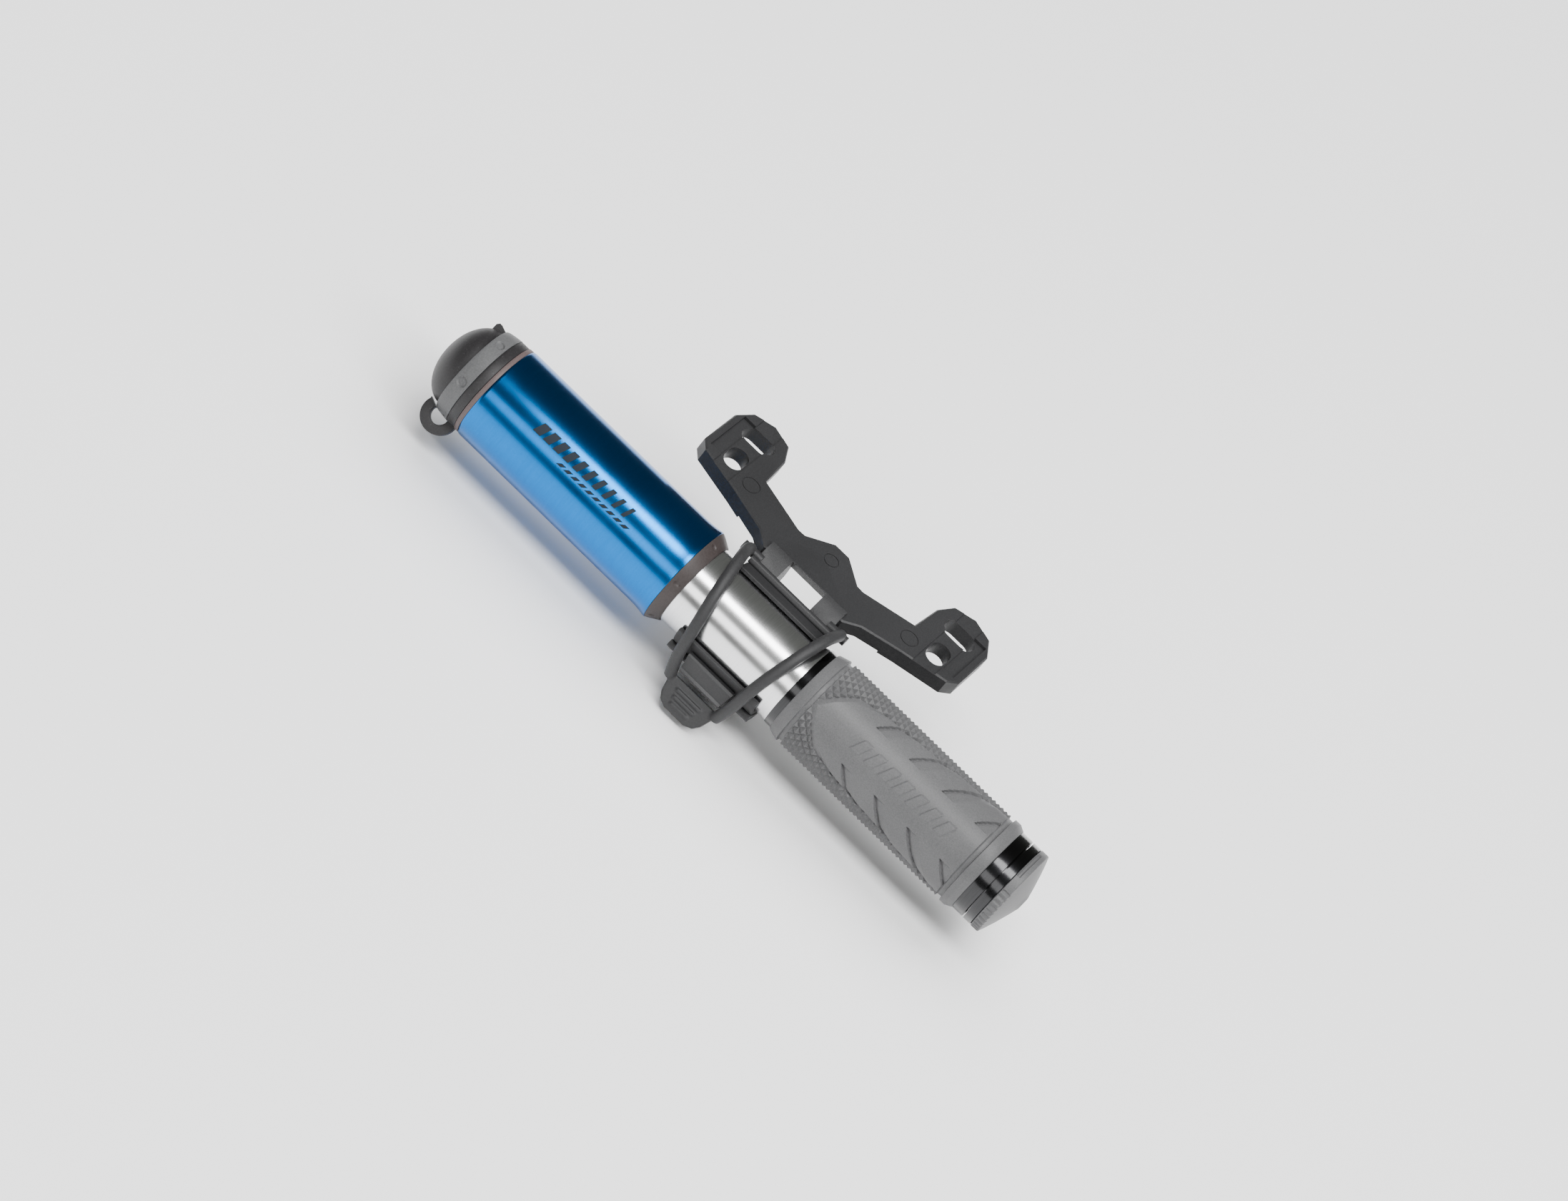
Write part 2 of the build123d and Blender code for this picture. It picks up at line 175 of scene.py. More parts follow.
def moulded(name, colour, pale, roughness, grain, relief, specks=0.0, sheen=0.0):
    """A moulded finish: colour and pale are linear colours, grain is the mould grain's scale per metre."""
    material = bpy.data.materials.new(name)
    material.use_nodes = True
    material.diffuse_color = (*colour, 1)
    tree = material.node_tree
    tree.nodes.clear()
    output = tree.nodes.new("ShaderNodeOutputMaterial")
    output.label = "surface of the moulding"
    shader = tree.nodes.new("ShaderNodeBsdfPrincipled")
    shader.label = "rubber or plastic body"
    coordinates = tree.nodes.new("ShaderNodeTexCoord")
    coordinates.label = "place on the pump"
    grain_noise = tree.nodes.new("ShaderNodeTexNoise")
    grain_noise.label = "mould grain"
    drift_noise = tree.nodes.new("ShaderNodeTexNoise")
    drift_noise.label = "slow drift of the colour"
    speck_cells = tree.nodes.new("ShaderNodeTexVoronoi")
    speck_cells.label = "dust specks"
    speck_ramp = tree.nodes.new("ShaderNodeValToRGB")
    speck_ramp.label = "only the heart of each cell"
    tint_ramp = tree.nodes.new("ShaderNodeValToRGB")
    tint_ramp.label = "dark in the grain, pale on it"
    drift_mix = tree.nodes.new("ShaderNodeMix")
    drift_mix.label = "drift over the grain tint"
    speck_mix = tree.nodes.new("ShaderNodeMix")
    speck_mix.label = "specks over the colour"
    rough_range = tree.nodes.new("ShaderNodeMapRange")
    rough_range.label = "grain makes the gloss uneven"
    bump = tree.nodes.new("ShaderNodeBump")
    bump.label = "height of the grain"
    for step, node in enumerate([coordinates, grain_noise, tint_ramp, drift_mix, speck_mix, shader, output]):
        node.location = (step * 240 - 900, 200)
    for step, node in enumerate([drift_noise, speck_cells, speck_ramp, rough_range, bump]):
        node.location = (step * 240 - 660, -160)
    colour_frame = tree.nodes.new("NodeFrame")
    colour_frame.label = "colour"
    for node in (tint_ramp, drift_mix, speck_mix, drift_noise, speck_cells, speck_ramp):
        node.parent = colour_frame
    relief_frame = tree.nodes.new("NodeFrame")
    relief_frame.label = "grain and gloss"
    for node in (grain_noise, rough_range, bump):
        node.parent = relief_frame
    grain_noise.inputs["Scale"].default_value = grain
    grain_noise.inputs["Detail"].default_value = 4.0
    grain_noise.inputs["Roughness"].default_value = 0.6
    drift_noise.inputs["Scale"].default_value = 55.0
    drift_noise.inputs["Detail"].default_value = 2.0
    speck_cells.inputs["Scale"].default_value = 1100.0
    speck_ramp.color_ramp.elements[0].position, speck_ramp.color_ramp.elements[1].position = 0.05, 0.16
    speck_ramp.color_ramp.elements[0].color = (specks, specks, specks, 1)
    speck_ramp.color_ramp.elements[1].color = (0, 0, 0, 1)
    tint_ramp.color_ramp.elements[0].position, tint_ramp.color_ramp.elements[1].position = 0.32, 0.72
    tint_ramp.color_ramp.elements[0].color = (*[c * 0.82 for c in colour], 1)
    tint_ramp.color_ramp.elements[1].color = (*[c * 1.1 + p * 0.03 for c, p in zip(colour, pale)], 1)
    drift_mix.data_type, speck_mix.data_type = "RGBA", "RGBA"
    drift_mix.blend_type = "SOFT_LIGHT"
    drift_mix.inputs[0].default_value = 0.22
    speck_mix.inputs[7].default_value = (*pale, 1)
    rough_range.inputs["To Min"].default_value = roughness - 0.07
    rough_range.inputs["To Max"].default_value = roughness + 0.08
    bump.inputs["Strength"].default_value = 0.55
    bump.inputs["Distance"].default_value = relief
    shader.inputs["Specular IOR Level"].default_value = 0.36
    shader.inputs["Sheen Weight"].default_value = sheen
    shader.inputs["Sheen Roughness"].default_value = 0.6
    tree.links.new(coordinates.outputs["Object"], grain_noise.inputs["Vector"])
    tree.links.new(coordinates.outputs["Object"], drift_noise.inputs["Vector"])
    tree.links.new(coordinates.outputs["Object"], speck_cells.inputs["Vector"])
    tree.links.new(grain_noise.outputs["Fac"], tint_ramp.inputs["Fac"])
    tree.links.new(tint_ramp.outputs["Color"], drift_mix.inputs[6])
    tree.links.new(drift_noise.outputs["Fac"], drift_mix.inputs[7])
    tree.links.new(speck_cells.outputs["Distance"], speck_ramp.inputs["Fac"])
    tree.links.new(speck_ramp.outputs["Color"], speck_mix.inputs[0])
    tree.links.new(drift_mix.outputs[2], speck_mix.inputs[6])
    tree.links.new(speck_mix.outputs[2], shader.inputs["Base Color"])
    tree.links.new(grain_noise.outputs["Fac"], rough_range.inputs["Value"])
    tree.links.new(rough_range.outputs["Result"], shader.inputs["Roughness"])
    tree.links.new(grain_noise.outputs["Fac"], bump.inputs["Height"])
    tree.links.new(bump.outputs["Normal"], shader.inputs["Normal"])
    tree.links.new(shader.outputs["BSDF"], output.inputs["Surface"])
    return material


# %% [markdown]
# ## Turned and anodised metal
# The tubes are turned on a lathe, so their finest marks run round the pump and blur the light along it.
# The noise is squeezed along X to draw those rings. A second, even noise gives the fine pits of the
# anodising, and a slow one gives the faint clouds that a handled tube has.

# %% The turned metal finish


def turned_metal(name, colour, shade, roughness, ring_relief, coat=0.0):
    """Metal with marks that run round the pump: colour on the marks' tops and shade between them."""
    material = bpy.data.materials.new(name)
    material.use_nodes = True
    material.diffuse_color = (*colour, 1)
    tree = material.node_tree
    tree.nodes.clear()
    output = tree.nodes.new("ShaderNodeOutputMaterial")
    output.label = "surface of the metal"
    shader = tree.nodes.new("ShaderNodeBsdfPrincipled")
    shader.label = "metal under its finish"
    coordinates = tree.nodes.new("ShaderNodeTexCoord")
    coordinates.label = "place on the pump"
    squeeze = tree.nodes.new("ShaderNodeMapping")
    squeeze.label = "squeezed along the pump"
    rings = tree.nodes.new("ShaderNodeTexNoise")
    rings.label = "lathe rings"
    pits = tree.nodes.new("ShaderNodeTexNoise")
    pits.label = "fine pits of the finish"
    clouds = tree.nodes.new("ShaderNodeTexNoise")
    clouds.label = "faint clouds of handling"
    ring_ramp = tree.nodes.new("ShaderNodeValToRGB")
    ring_ramp.label = "shade between the rings"
    pit_mix = tree.nodes.new("ShaderNodeMix")
    pit_mix.label = "pits darken the colour"
    marks = tree.nodes.new("ShaderNodeMath")
    marks.label = "rings and pits together"
    rough_range = tree.nodes.new("ShaderNodeMapRange")
    rough_range.label = "clouds dull the polish"
    bump = tree.nodes.new("ShaderNodeBump")
    bump.label = "height of the marks"
    for step, node in enumerate([coordinates, squeeze, rings, ring_ramp, pit_mix, shader, output]):
        node.location = (step * 240 - 900, 200)
    for step, node in enumerate([pits, clouds, marks, rough_range, bump]):
        node.location = (step * 240 - 660, -160)
    colour_frame = tree.nodes.new("NodeFrame")
    colour_frame.label = "colour"
    for node in (ring_ramp, pit_mix):
        node.parent = colour_frame
    marks_frame = tree.nodes.new("NodeFrame")
    marks_frame.label = "lathe marks and gloss"
    for node in (squeeze, rings, pits, clouds, marks, rough_range, bump):
        node.parent = marks_frame
    squeeze.inputs["Scale"].default_value = (22.0, 1.0, 1.0)
    rings.inputs["Scale"].default_value = 170.0
    rings.inputs["Detail"].default_value = 5.0
    pits.inputs["Scale"].default_value = 5200.0
    pits.inputs["Detail"].default_value = 1.0
    clouds.inputs["Scale"].default_value = 90.0
    ring_ramp.color_ramp.elements[0].position, ring_ramp.color_ramp.elements[1].position = 0.3, 0.62
    ring_ramp.color_ramp.elements[0].color = (*shade, 1)
    ring_ramp.color_ramp.elements[1].color = (*colour, 1)
    pit_mix.data_type, pit_mix.blend_type = "RGBA", "OVERLAY"
    pit_mix.inputs[0].default_value = 0.16
    marks.operation = "MULTIPLY_ADD"
    marks.inputs[1].default_value = 0.35
    rough_range.inputs["To Min"].default_value = max(roughness - 0.05, 0.04)
    rough_range.inputs["To Max"].default_value = roughness + 0.06
    bump.inputs["Strength"].default_value = 0.3
    bump.inputs["Distance"].default_value = ring_relief
    shader.inputs["Metallic"].default_value = 1.0
    shader.inputs["Coat Weight"].default_value = coat
    shader.inputs["Coat Roughness"].default_value = 0.14
    tree.links.new(coordinates.outputs["Object"], squeeze.inputs["Vector"])
    tree.links.new(squeeze.outputs["Vector"], rings.inputs["Vector"])
    tree.links.new(coordinates.outputs["Object"], pits.inputs["Vector"])
    tree.links.new(coordinates.outputs["Object"], clouds.inputs["Vector"])
    tree.links.new(rings.outputs["Fac"], ring_ramp.inputs["Fac"])
    tree.links.new(ring_ramp.outputs["Color"], pit_mix.inputs[6])
    tree.links.new(pits.outputs["Fac"], pit_mix.inputs[7])
    tree.links.new(pit_mix.outputs[2], shader.inputs["Base Color"])
    tree.links.new(pits.outputs["Fac"], marks.inputs[0])
    tree.links.new(rings.outputs["Fac"], marks.inputs[2])
    tree.links.new(marks.outputs["Value"], bump.inputs["Height"])
    tree.links.new(bump.outputs["Normal"], shader.inputs["Normal"])
    tree.links.new(clouds.outputs["Fac"], rough_range.inputs["Value"])
    tree.links.new(rough_range.outputs["Result"], shader.inputs["Roughness"])
    tree.links.new(shader.outputs["BSDF"], output.inputs["Surface"])
    return material


# %% All the finishes
bracket_plastic = moulded("bracket_plastic", (0.021, 0.021, 0.022), (0.12, 0.12, 0.125),
                          0.44, 3600, 0.00006, 0.10)
liner_rubber = moulded("liner_rubber", (0.018, 0.018, 0.019), (0.09, 0.09, 0.09), 0.55, 2600, 0.00004, 0.05)
strap_rubber = moulded("strap_rubber", (0.022, 0.022, 0.023), (0.12, 0.12, 0.125),
                       0.52, 3000, 0.00006, 0.10, 0.02)
cap_rubber = moulded("cap_rubber", (0.014, 0.013, 0.014), (0.15, 0.15, 0.155),
                     0.48, 2600, 0.00006, 0.25, 0.02)
collar_grey = moulded("collar_grey", (0.088, 0.089, 0.091), (0.24, 0.24, 0.25), 0.46, 2800, 0.00004, 0.10)
ring_brown = moulded("ring_brown", (0.088, 0.064, 0.062), (0.20, 0.16, 0.16), 0.46, 2800, 0.00003, 0.05)
seal_rubber = moulded("seal_rubber", (0.034, 0.027, 0.026), (0.13, 0.11, 0.11), 0.46, 2600, 0.00004, 0.10)
grip_rubber = moulded("grip_rubber", (0.086, 0.086, 0.088), (0.20, 0.20, 0.205),
                      0.42, 3300, 0.00004, 0.10, 0.02)
inner_plastic = moulded("inner_plastic", (0.07, 0.07, 0.075), (0.16, 0.16, 0.17), 0.45, 2600, 0.00004)
hose_rubber = moulded("hose_rubber", (0.018, 0.018, 0.019), (0.08, 0.08, 0.08), 0.45, 2600, 0.00005, 0.04)
print_ink = moulded("print_ink", (0.001, 0.006, 0.014), (0.01, 0.03, 0.06), 0.60, 3000, 0.00001)
sleeve_blue = turned_metal("sleeve_blue", (0.001, 0.158, 0.490), (0.001, 0.146, 0.460), 0.22, 0.000001)
barrel_silver = turned_metal("barrel_silver", (0.86, 0.86, 0.87), (0.79, 0.79, 0.80), 0.20, 0.0000015)
ring_black = turned_metal("ring_black", (0.016, 0.016, 0.018), (0.010, 0.010, 0.011), 0.24, 0.000001, 0.8)
rod_steel = turned_metal("rod_steel", (0.62, 0.62, 0.63), (0.52, 0.52, 0.53), 0.22, 0.000003)
brass = turned_metal("brass", (0.78, 0.56, 0.24), (0.62, 0.42, 0.16), 0.25, 0.000004)
print("finishes:", sorted(material.name for material in bpy.data.materials))

# %% [markdown]
# ## Two ways to make a turned piece
# Most of the pump is turned. A plain turned piece is an outline that a Screw modifier spins round X, and a
# Bevel modifier rounds its corners so that they catch light. A piece whose surface also changes round the
# axis, such as the knurled grip, is built as a skin: rings of points whose radius is a formula.

# %% Helpers for pieces
SEGMENTS = 144


def settle(piece, name, body, nodes, material):
    """Names a finished piece, gives it its finish and ties it to its body and CAD nodes."""
    piece.name = name
    piece.data.name = name
    piece.data.materials.clear()
    piece.data.materials.append(material)
    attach(piece, body)
    if nodes:
        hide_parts(*nodes)
    return piece


def applied(piece, offset, crease=32):
    """The piece with its modifiers applied, its normals outward and its place in its mesh. Edges that turn
    more than crease degrees stay sharp."""
    bpy.context.view_layer.update()
    graph = bpy.context.evaluated_depsgraph_get()
    mesh = bpy.data.meshes.new_from_object(piece.evaluated_get(graph))
    old = piece.data
    piece.modifiers.clear()
    piece.data = mesh
    bpy.data.meshes.remove(old)
    shell = bmesh.new()
    shell.from_mesh(mesh)
    bmesh.ops.remove_doubles(shell, verts=shell.verts, dist=0.000002)
    bmesh.ops.recalc_face_normals(shell, faces=shell.faces)
    bmesh.ops.translate(shell, verts=shell.verts, vec=offset)
    shell.to_mesh(mesh)
    shell.free()
    mesh.shade_smooth()
    mesh.set_sharp_from_angle(angle=math.radians(crease))
    return piece


def new_piece(name, points, edges=(), faces=()):
    """An object at the origin from points in metres."""
    mesh = bpy.data.meshes.new(name)
    mesh.from_pydata([tuple(p) for p in points], list(edges), list(faces))
    piece = bpy.data.objects.new(name, mesh)
    bpy.context.scene.collection.objects.link(piece)
    return piece


def prism(name, outline, low, high, to_point):
    """A flat cage: an outline pulled from low to high, its corners placed by to_point(a, b, c)."""
    count = len(outline)
    points = [to_point(a, b, c) for c in (low, high) for a, b in outline]
    faces = [tuple(range(count)), tuple(range(2 * count - 1, count - 1, -1))]
    faces += [(i, (i + 1) % count, count + (i + 1) % count, count + i) for i in range(count)]
    return new_piece(name, points, faces=faces)


def turned(name, outline, rounding=0.12):
    """A turned piece from a closed outline of (station, radius) corners in millimetres."""
    points = [(NOSE + s * MM, 0, r * MM) for s, r in outline]
    count = len(points)
    piece = new_piece(name, points, [(i, (i + 1) % count) for i in range(count)])
    screw = piece.modifiers.new("spin", "SCREW")
    screw.axis = "X"
    screw.steps = screw.render_steps = SEGMENTS
    screw.use_merge_vertices, screw.merge_threshold = True, 0.000005
    screw.use_normal_calculate = True
    if rounding:
        bevel = piece.modifiers.new("soft corners", "BEVEL")
        bevel.width, bevel.segments, bevel.limit_method = rounding * MM, 2, "ANGLE"
        bevel.angle_limit = math.radians(28)
        bevel.use_clamp_overlap = True
    return applied(piece, AXIS)


def skin(name, rings, columns, centres=None, crease=32):
    """A closed skin of rings: each ring is (station, radius for every column), the last joins the first.
    centres holds radii at the middles of the cells after each ring, or None. A cell with a centre is cut
    along the diagonal that passes nearest to it, so folds that run across the grid stay straight."""
    angles = np.linspace(0, 2 * math.pi, columns, endpoint=False)
    mouthward, downward = np.cos(angles), np.sin(angles)
    radii = np.array([np.broadcast_to(radius, angles.shape) for _, radius in rings])
    along = NOSE + np.array([[s] for s, _ in rings]) * MM + np.zeros_like(radii)
    y = AXIS.y + radii * MM * (mouthward * MOUTH.y + downward * DOWN.y)
    z = AXIS.z + radii * MM * (mouthward * MOUTH.z + downward * DOWN.z)
    points = np.stack([along, y, z], axis=-1).reshape(-1, 3)
    a = np.arange(radii.size).reshape(radii.shape)
    b = np.roll(a, -1, axis=0)
    c, d = np.roll(b, -1, axis=1), np.roll(a, -1, axis=1)
    faces = []
    for row, centre in enumerate(centres or [None] * len(rings)):
        if centre is None:
            faces += np.stack([a[row], b[row], c[row], d[row]], axis=-1).tolist()
            continue
        flat = radii.ravel()
        rise_miss = np.abs((flat[a[row]] + flat[c[row]]) / 2 - centre)
        fall_miss = np.abs((flat[b[row]] + flat[d[row]]) / 2 - centre)
        rising = rise_miss <= fall_miss
        first = np.where(rising, c[row], d[row])
        second = np.where(rising, a[row], b[row])
        faces += np.stack([a[row], b[row], first], axis=-1).tolist()
        faces += np.stack([second, c[row], d[row]], axis=-1).tolist()
    return applied(new_piece(name, points, faces=faces), Vector((0, 0, 0)), crease)


def column_angles(columns):
    """Angle of each column from the mouth, in degrees from -180 to 180."""
    return (np.degrees(np.linspace(0, 2 * math.pi, columns, endpoint=False)) + 180) % 360 - 180


# %% [markdown]
# ## The blue handle
# The handle is a thin anodised tube. Its open end flares out over the last few millimetres to a lip that
# runs on the wiper. The flare is a row of corners on a quarter wave, which the spin turns into a smooth bell.

# %% The handle sleeve
SLEEVE_R, SLEEVE_BORE, LIP_R = 12.6, 11.72, 12.98
sleeve_start, sleeve_end = station("handle_sleeve", 0), station("handle_sleeve", 1)
flare = [(sleeve_end - 4.6 + 4.2 * t, SLEEVE_R + (LIP_R - SLEEVE_R) * (1 - math.cos(t * math.pi / 2)))
         for t in (0, 0.2, 0.4, 0.6, 0.8, 1.0)]
sleeve = turned("handle_sleeve_skin",
                [(sleeve_start, SLEEVE_BORE), (sleeve_end, SLEEVE_BORE), (sleeve_end, LIP_R - 0.1),
                 (sleeve_end - 0.1, LIP_R), *reversed(flare), (sleeve_start + 0.5, SLEEVE_R),
                 (sleeve_start, SLEEVE_R - 0.15)])
settle(sleeve, "handle_sleeve_skin", "handle", ["handle_sleeve"], sleeve_blue)
print("handle sleeve runs from", round(sleeve_start, 1), "to", round(sleeve_end, 1))

# %% [markdown]
# ## The printed band on the handle
# A plain graphic stands on the handle: a row of leaning bars over a row of short dashes. Each mark is a
# small patch that follows the tube a hair above it, which keeps its edge crisp at any distance.

# %% Printed bars
PRINT_GAP = 0.03


def wrapped_marks(name, marks, radius, lean):
    """Patches on a cylinder: each mark is (start station, end station, first angle, last angle)."""
    steps = 5
    points, faces = [], []
    for start, end, first, last in marks:
        base = len(points)
        for row in range(steps + 1):
            share = row / steps
            angle = math.radians(first + (last - first) * share)
            shift = lean * (1 - share)
            for along in (start + shift, end + shift):
                points.append(at_station(along, radius * math.cos(angle), radius * math.sin(angle)))
        faces += [(base + 2 * r, base + 2 * r + 1, base + 2 * r + 3, base + 2 * r + 2) for r in range(steps)]
    piece = new_piece(name, points, faces=faces)
    solid = piece.modifiers.new("ink thickness", "SOLIDIFY")
    solid.thickness, solid.offset = PRINT_GAP * MM * 0.8, -1
    return piece


bars = [(28.5 + 3.05 * i, 30.7 + 3.05 * i - 0.13 * i, -13.5, 0.5) for i in range(10)]
dashes = [(37.5 + 2.2 * i, 38.9 + 2.2 * i, 4.5, 8.5) for i in range(10)]
printed = wrapped_marks("handle_print", bars + dashes, SLEEVE_R + PRINT_GAP, 1.1)
printed = applied(printed, Vector((0, 0, 0)))
settle(printed, "handle_print", "handle", [], print_ink)
print("printed marks:", len(bars) + len(dashes))

# %% [markdown]
# ## The wiper
# A dark rubber cone closes the gap between the handle and the barrel. Six shallow dimples sit round it.
# It is a skin, so that the dimples are real hollows.

# %% The sleeve wiper
WIPER_COLUMNS, WIPER_DIMPLE, DIMPLE_R = 480, 0.32, 0.72
wiper_start, wiper_end = station("sleeve_wiper", 0), station("sleeve_wiper", 1)
wiper_angles = column_angles(WIPER_COLUMNS)
wiper_gap = np.abs((wiper_angles - 11 + 30) % 60 - 30)
wiper_rings = []
for along in np.linspace(sleeve_end + 0.02, wiper_end - 0.35, 20):
    cone = 12.85 + (11.35 - 12.85) * ((along - sleeve_end) / (wiper_end - 0.35 - sleeve_end)) ** 1.15
    away = np.hypot(along - sleeve_end - 1.45, np.radians(wiper_gap) * 12.0)
    wiper_rings.append((along, cone - WIPER_DIMPLE * np.clip(1.2 - 1.2 * (away / DIMPLE_R) ** 3, 0, 1)))
wiper_rings += [(wiper_end - 0.1, 11.22), (wiper_end, 11.1), (wiper_end, 10.87), (wiper_start, 10.87),
                (wiper_start, 11.68), (sleeve_end - 0.02, 11.68), (sleeve_end + 0.01, 12.6)]
wiper = skin("wiper_cone", wiper_rings, WIPER_COLUMNS)
settle(wiper, "wiper_cone", "handle", ["sleeve_wiper"], seal_rubber)
print("wiper rings:", len(wiper_rings))

# %% [markdown]
# ## The head of the handle
# Four turned bands stack on the head plug: the grey collar with its round dimples, the black leash ring,
# a thin brown ring and, over them all, the rubber dust cap. The collar is a skin for its dimples.

# %% The dimpled collar
collar_start, collar_end = station("head_collar", 0), station("head_collar", 1)
COLLAR_COLUMNS, COLLAR_DIMPLE_R = 420, 1.25
collar_angles = column_angles(COLLAR_COLUMNS)
collar_gap = np.abs((collar_angles - 17 + 30) % 60 - 30)
collar_rings = [(collar_start, 9.05), (collar_start, 11.3)]
for along in np.linspace(collar_start + 0.12, collar_end - 0.1, 26):
    share = (along - collar_start) / (collar_end - collar_start)
    body_radius = 11.45 + 0.9 * share ** 0.45
    away = np.hypot(along - 9.4, np.radians(collar_gap) * 12.0)
    hollow = 0.42 * np.clip(1.25 - (away / COLLAR_DIMPLE_R) ** 6 * 1.25, 0, 1)
    collar_rings.append((along, body_radius - hollow))
collar_rings += [(collar_end, 12.2), (collar_end, 9.05)]
collar = skin("collar_band", collar_rings, COLLAR_COLUMNS)
settle(collar, "collar_band", "handle", ["head_collar"], collar_grey)

# %% The leash ring, its loop and the brown ring
ring_start, ring_end = collar_end, station("end_ring", 0)
leash = turned("leash_band", [(ring_start + 0.05, 9.05), (ring_end - 0.05, 9.05), (ring_end - 0.05, 12.28),
                              (ring_start + 0.05, 12.28)], 0.3)
settle(leash, "leash_band", "handle", ["leash_ring"], cap_rubber)
brown = turned("brown_band", [(ring_end, 9.05), (sleeve_start - 0.05, 9.05), (sleeve_start - 0.05, 12.45),
                              (ring_end, 12.45)], 0.12)
settle(brown, "brown_band", "handle", ["end_ring"], ring_brown)

LOOP_STATION, LOOP_OUT, LOOP_MID_R, LOOP_THICK = 9.4, 12.6, 3.35, 2.5
loop_points, loop_faces = [], []
LOOP_STEPS, LOOP_FIRST, LOOP_LAST = 36, math.radians(-28), math.radians(203)
for i in range(LOOP_STEPS + 1):
    angle = LOOP_FIRST + (LOOP_LAST - LOOP_FIRST) * i / LOOP_STEPS
    for reach, lift in ((-1, -1), (1, -1), (1, 1), (-1, 1)):
        radius = LOOP_MID_R + reach * 1.2
        loop_points.append(at_station(LOOP_STATION + radius * math.cos(angle), lift * LOOP_THICK / 2,
                                      LOOP_OUT + radius * math.sin(angle)))
    if i:
        a, b = 4 * (i - 1), 4 * i
        loop_faces += [(a + k, a + (k + 1) % 4, b + (k + 1) % 4, b + k) for k in range(4)]
loop_faces += [(0, 1, 2, 3), tuple(4 * LOOP_STEPS + k for k in (3, 2, 1, 0))]
loop = new_piece("leash_loop", loop_points, faces=loop_faces)
loop_bevel = loop.modifiers.new("moulded edges", "BEVEL")
loop_bevel.width, loop_bevel.segments, loop_bevel.limit_method = 0.55 * MM, 4, "ANGLE"
loop_bevel.angle_limit = math.radians(50)
loop = applied(loop, Vector((0, 0, 0)))
settle(loop, "leash_loop", "handle", [], cap_rubber)

# %% [markdown]
# ## The dust cap
# The cap is a soft dome with its own cavity for the chuck and a small pull fin at its upper edge. The
# dome's outline is a quarter of an ellipse, flattened a little at the tip.

# %% The dome and its fin
CAP_R, FIN_HALF, cap_end = 10.75, 1.3, station("dust_cap", 1)
dome = [(cap_end * (1 - math.cos(t)), CAP_R * math.sin(t) ** 0.97) for t in np.linspace(0, math.pi / 2, 15)]
cavity = [(cap_end, 8.3), (cap_end - 1.8, 8.05), (cap_end - 4.5, 5.4), (1.7, 2.0), (1.6, 0)]
cap = turned("cap_dome", [(s, max(r, 0)) for s, r in dome] + [(cap_end, CAP_R)] + cavity, 0.25)
settle(cap, "cap_dome", "dust_cap", ["dust_cap"], cap_rubber)
fin_side = [(4.6, -9.6), (4.6, -11.1), (5.0, -11.55), (5.7, -11.3), (7.1, -10.8), (7.1, -9.4)]
fin = prism("cap_fin", fin_side, -FIN_HALF, FIN_HALF, lambda s, q, p: at_station(s, p, q))
fin_bevel = fin.modifiers.new("moulded edges", "BEVEL")
fin_bevel.width, fin_bevel.segments = 0.3 * MM, 3
fin = applied(fin, Vector((0, 0, 0)))
settle(fin, "cap_fin", "dust_cap", [], cap_rubber)
print("dome corners:", len(dome))

# %% [markdown]
# ## The barrel and the black rings
# The barrel is a polished tube that flares slightly where it meets the black grip tube. The grip tube shows
# only at its two ends, as a narrow strip before the grip and a ring after it. The end plug is the second
# black ring, a hair away from the first.

# %% Barrel, grip tube and end plug
BARREL_R, BARREL_BORE, FLARE_R, RING_R = 10.8, 9.62, 11.08, 11.48
barrel_start, barrel_end = station("barrel", 0), station("barrel", 1)
tube_start, tube_end = station("grip_tube", 0), station("grip_tube", 1)
plug_start, plug_end = tube_end + 0.4, station("end_plug", 1)
grip_start, grip_end = station("grip", 0), station("grip", 1)
bell = [(tube_start - 3.6 + 3.5 * t, BARREL_R + (FLARE_R - BARREL_R) * t * t)
        for t in (0, 0.25, 0.5, 0.75, 1.0)]
tube = turned("barrel_tube",
              [(barrel_start, BARREL_BORE), (barrel_end, BARREL_BORE), (barrel_end, BARREL_R - 0.02),
               (tube_start, BARREL_R - 0.02), (tube_start - 0.02, FLARE_R), *reversed(bell),
               (barrel_start, BARREL_R)])
settle(tube, "barrel_tube", "barrel", ["barrel"], barrel_silver)
black_tube = turned("black_tube",
                    [(tube_start, BARREL_R), (tube_end, BARREL_R), (tube_end, RING_R), (grip_end, RING_R),
                     (grip_end, FLARE_R), (tube_start, FLARE_R)], 0.14)
settle(black_tube, "black_tube", "barrel", ["grip_tube"], ring_black)
plug = turned("plug_flange",
              [(plug_start, 0.0), (plug_end, 0.0), (plug_end, RING_R), (plug_start, RING_R)], 0.14)
settle(plug, "plug_flange", "barrel", [], ring_black)

# %% [markdown]
# ## The rubber grip
# The grip is one moulding with three reliefs: a field of small diamonds, a smooth panel with a bevelled
# arrow tip on each side, and leaning notches cut into the panel's edges. All three are heights above the
# same tube, so the grip is a skin whose radius is worked out for each point. The mesh has ten columns and
# ten rings to a diamond, which puts its points exactly on the diamonds' ridges.

